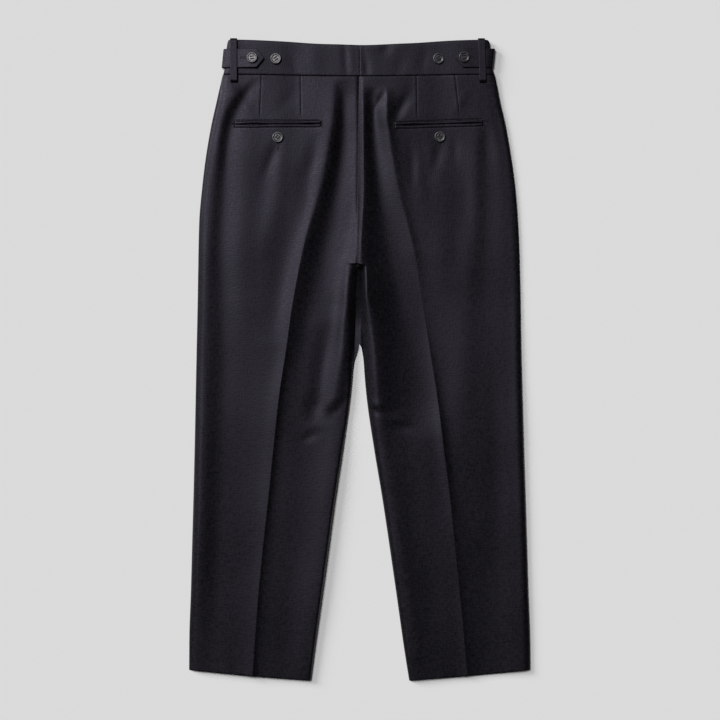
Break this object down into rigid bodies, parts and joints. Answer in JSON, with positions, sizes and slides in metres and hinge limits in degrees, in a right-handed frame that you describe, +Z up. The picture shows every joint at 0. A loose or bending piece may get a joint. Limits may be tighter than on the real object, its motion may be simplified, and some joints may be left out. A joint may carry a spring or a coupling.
{
  "type": "tailored trousers",
  "caption": "Plain tailored trousers with pressed creases, side adjusters, belt loops and jetted back pockets, laid flat back up.",
  "frame": {"origin": "on the surface, under the middle of the trousers' outline", "axes": "+Z up from the surface the trousers lie on, +Y along the legs towards the waistband, +X towards the wearer's right"},
  "size_m": [0.513, 0.963, 0.0119],
  "materials": {
    "wool": "fine matte wool",
    "wool_trim": "fine matte wool",
    "button": "satin dark horn"
  },
  "bodies": {
    "root": {"adjuster_left": "wool_trim", "adjuster_right": "wool_trim", "back_left": "wool", "back_right": "wool", "button_pocket_left": "button", "button_pocket_right": "button", "button_spare_left": "button", "button_spare_right": "button", "button_strap_left": "button", "button_strap_right": "button", "fly_shield": "wool_trim", "front_left": "wool", "front_right": "wool", "loop_left": "wool_trim", "loop_right": "wool_trim", "pocket_left_lower_jet": "wool_trim", "pocket_left_upper_jet": "wool_trim", "pocket_right_lower_jet": "wool_trim", "pocket_right_upper_jet": "wool_trim", "waistband_back_left": "wool", "waistband_back_right": "wool", "waistband_front_left": "wool", "waistband_front_right": "wool"}
  },
  "joints": []
}
